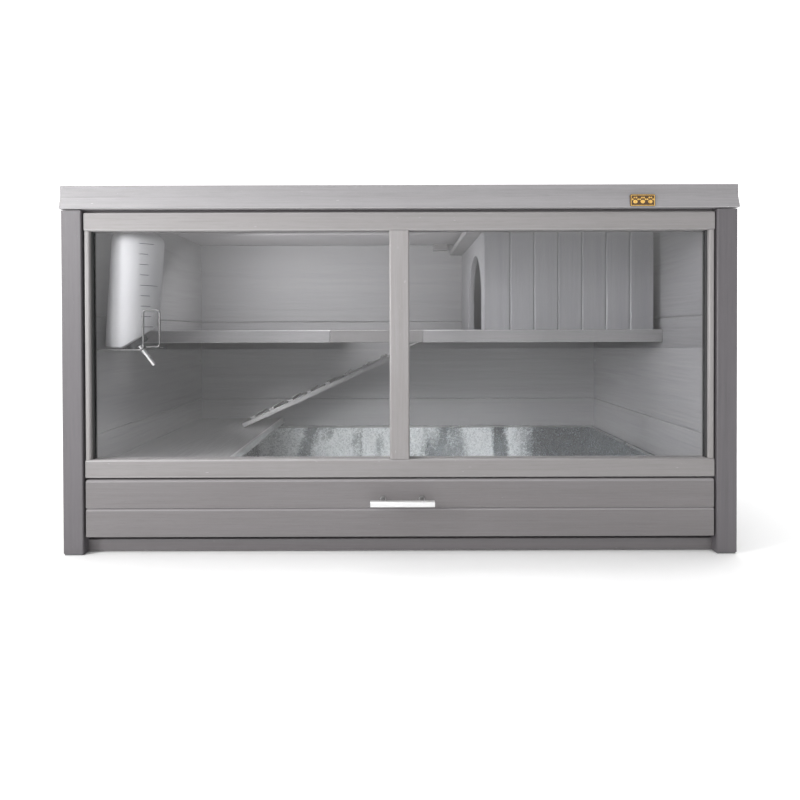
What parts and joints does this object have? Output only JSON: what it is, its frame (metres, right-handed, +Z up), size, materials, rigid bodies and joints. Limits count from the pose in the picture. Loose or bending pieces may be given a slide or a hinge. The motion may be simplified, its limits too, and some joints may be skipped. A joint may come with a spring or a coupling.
{
  "type": "small animal habitat",
  "caption": "Indoor small animal habitat with glazed front, hinged lid, shelf with ramp, hide house, water bottle and pull-out litter tray.",
  "frame": {"origin": "centre of the footprint at floor level, handle and hinges included", "axes": "+Z up, +X to the right seen from the front, the window and drawer face -Y"},
  "size_m": [1.1, 0.631, 0.6],
  "materials": {
    "wall_board": "wood-plastic composite board, satin, fine straight grain",
    "post": "wood-plastic composite, cool grey, fine vertical grain",
    "frame_board": "wood-plastic composite, darker grey",
    "window_frame": "wood-plastic composite, warm light grey",
    "lid_board": "wood-plastic composite, light grey",
    "drawer_board": "wood-plastic composite, warm grey",
    "shelf_board": "wood-plastic composite, satin grey",
    "house_board": "wood-plastic composite beadboard",
    "glass": "clear polished pane",
    "bead": "dark glazing bead",
    "galvanised": "galvanised sheet with spangle",
    "handle": "satin anodised",
    "steel": "bright steel",
    "bottle": "translucent white",
    "cap": "dark grey",
    "wire": "dark coated wire",
    "badge": "satin gold",
    "foot": "dark grey"
  },
  "bodies": {
    "cabinet": {"side_wall_boards_lower": "wall_board", "side_wall_boards_middle": "wall_board", "side_wall_boards_upper": "wall_board", "back_wall_board_lower": "wall_board", "back_wall_board_middle": "wall_board", "back_wall_board_upper": "wall_board", "corner_post_front_left": "post", "corner_post_front_right": "post", "corner_post_rear_left": "post", "corner_post_rear_right": "post", "kick_rail": "frame_board", "base_rails": "frame_board", "base_floor": "frame_board", "drawer_runners": "frame_board", "front_top_rail": "frame_board", "rear_top_rail": "frame_board", "support_cleats": "frame_board", "window_bottom_rail": "window_frame", "window_top_rail": "window_frame", "window_stiles": "window_frame", "window_mullion": "window_frame", "deck_board": "shelf_board", "shelf_board": "shelf_board", "shelf_lip_left": "shelf_board", "shelf_lip_middle": "shelf_board", "shelf_lip_right": "shelf_board", "house_front": "house_board", "house_left": "house_board", "house_right": "house_board", "house_back": "house_board", "house_roof": "house_board", "glass_pane_left": "glass", "glass_pane_right": "glass", "glazing_beads": "bead", "lid_hinge_body_leaves": "steel", "hinge_pins": "steel", "ramp_hinge_shelf_leaf": "steel", "corner_screws": "steel", "drinking_tube": "steel", "bottle_body": "bottle", "bottle_cap": "cap", "bottle_holder": "wire", "foot_glides": "foot"},
    "lid": {"lid_board_front": "lid_board", "lid_board_middle": "lid_board", "lid_board_rear": "lid_board", "lid_fascia_front": "lid_board", "lid_fascia_rear": "lid_board", "lid_fascia_sides": "lid_board", "lid_badge": "badge", "lid_hinge_lid_leaves": "steel"},
    "drawer": {"drawer_plank_lower": "drawer_board", "drawer_plank_upper": "drawer_board", "drawer_battens": "drawer_board", "litter_pan": "galvanised", "drawer_handle_bar": "handle", "drawer_handle_posts": "handle"},
    "ramp": {"ramp_board": "shelf_board", "ramp_treads": "shelf_board", "ramp_hinge_ramp_leaf": "steel"}
  },
  "joints": [
    {"name": "lid_hinge", "type": "hinge", "parent": "cabinet", "child": "lid", "pos_m": [0, 0.312, 0.561], "axis": [-1, 0, 0], "range_deg": [0, 95]},
    {"name": "drawer_slide", "type": "slide", "parent": "cabinet", "child": "drawer", "axis": [0, -1, 0], "range_m": [0, 0.42]},
    {"name": "ramp_hinge", "type": "hinge", "parent": "cabinet", "child": "ramp", "pos_m": [0.08, 0.1845, 0.3505], "axis": [0, 1, 0], "range_deg": [0, 22]}
  ]
}
